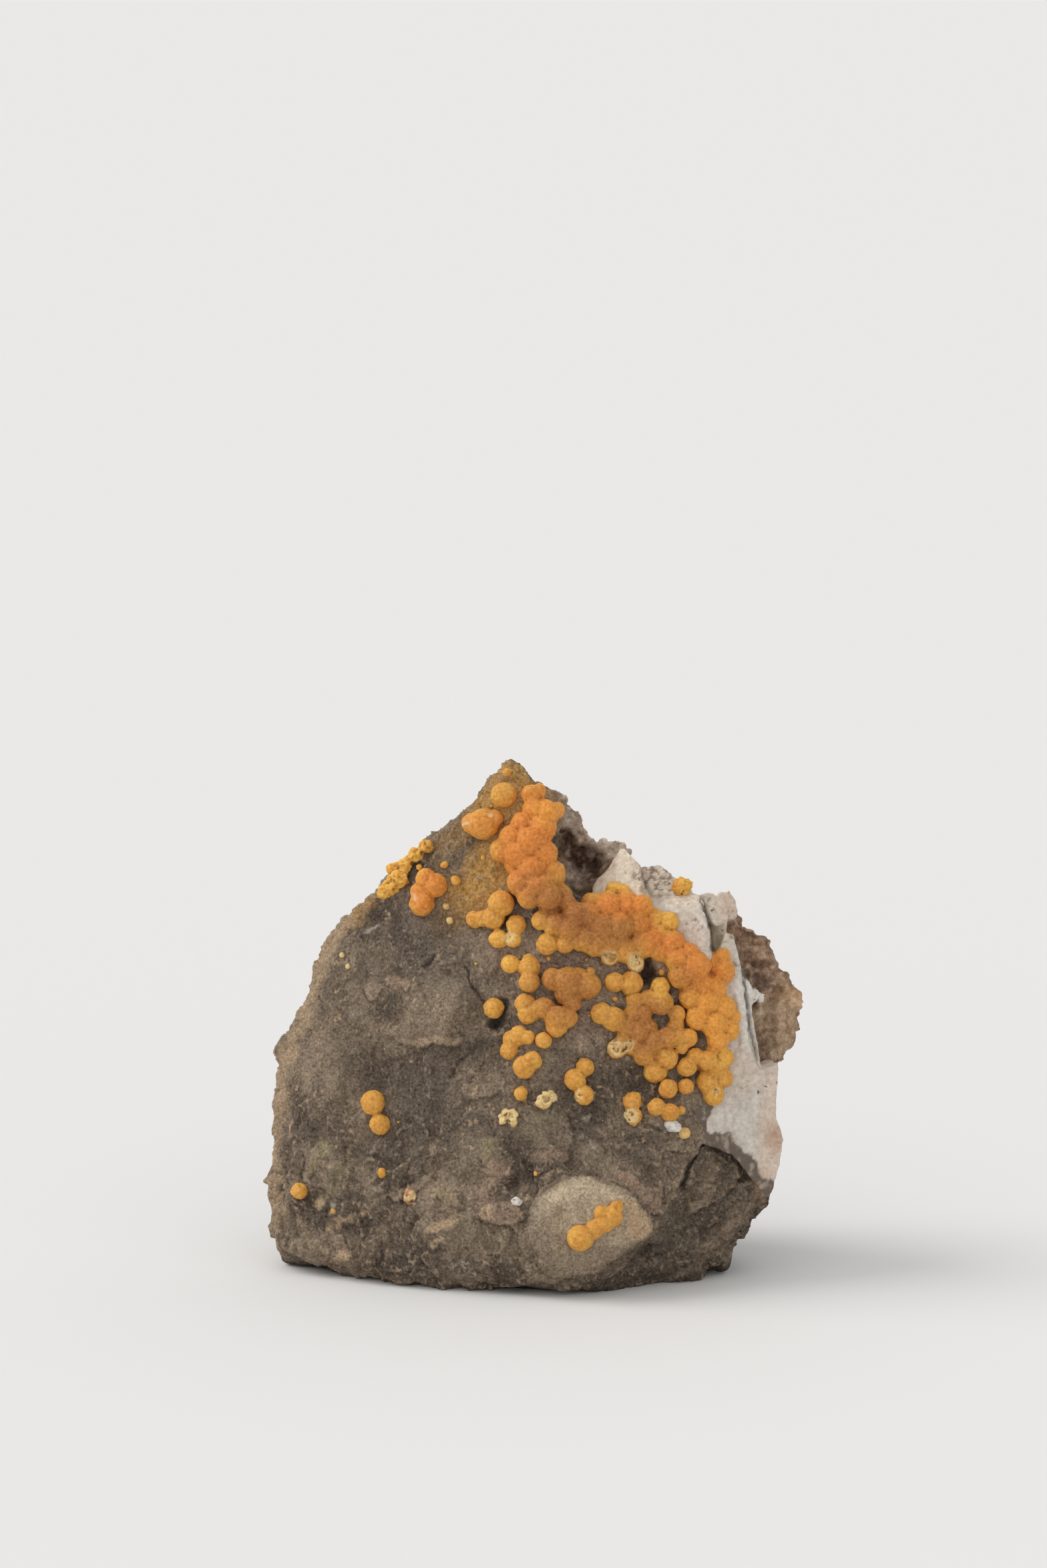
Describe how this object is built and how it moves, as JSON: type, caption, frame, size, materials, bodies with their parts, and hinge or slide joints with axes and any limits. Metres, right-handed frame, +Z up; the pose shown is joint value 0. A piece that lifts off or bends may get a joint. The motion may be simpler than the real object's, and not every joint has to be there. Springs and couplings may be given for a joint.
{
  "type": "mimetite mineral specimen",
  "caption": "Orange ball-shaped mimetite crust and clusters on a broken grey-brown rock slab with a white calcite vein and a brown porous edge.",
  "frame": {"origin": "middle of the specimen's footprint box, on the surface it stands on", "axes": "+Z up; +X to the viewer's right when the mimetite face is seen; -Y towards the viewer of the mimetite face"},
  "size_m": [0.0606, 0.0352, 0.058],
  "materials": {
    "host_rock": "matte broken limestone, fine grained, grey-brown with tan stains",
    "calcite": "satin white to pinkish calcite with small brown specks",
    "gossan": "matte porous brown-grey druse",
    "mimetite": "waxy to matte finely granular orange to yellow balls"
  },
  "bodies": {
    "root": {"host_rock": "host_rock", "calcite_vein": "calcite", "vuggy_gossan": "gossan", "mimetite_crust": "mimetite", "mimetite_lower_right": "mimetite", "mimetite_middle": "mimetite", "mimetite_upper_left_edge": "mimetite", "mimetite_left_large": "mimetite", "mimetite_peak": "mimetite", "mimetite_below_peak": "mimetite", "mimetite_beside_crust": "mimetite", "mimetite_yellow_and_orange": "mimetite", "mimetite_crack_ball": "mimetite", "mimetite_middle_pair": "mimetite", "mimetite_hooked": "mimetite", "mimetite_beside_hook": "mimetite", "mimetite_oval": "mimetite", "mimetite_row_of_three": "mimetite", "mimetite_small_round": "mimetite", "mimetite_pale_broken_right": "mimetite", "mimetite_pale_broken_left": "mimetite", "mimetite_right_low": "mimetite", "mimetite_right_low_small": "mimetite", "mimetite_broken_pair": "mimetite", "mimetite_chipped_pair": "mimetite", "mimetite_bead_right": "mimetite", "mimetite_low_right_bead": "mimetite", "mimetite_far_left_pair": "mimetite", "mimetite_left_ball": "mimetite", "mimetite_left_bead": "mimetite", "mimetite_pink_broken": "mimetite", "mimetite_upper_bead": "mimetite", "mimetite_on_flake": "mimetite", "mimetite_on_calcite": "mimetite", "white_chip_right": "calcite", "white_chip_low": "calcite"}
  },
  "joints": []
}
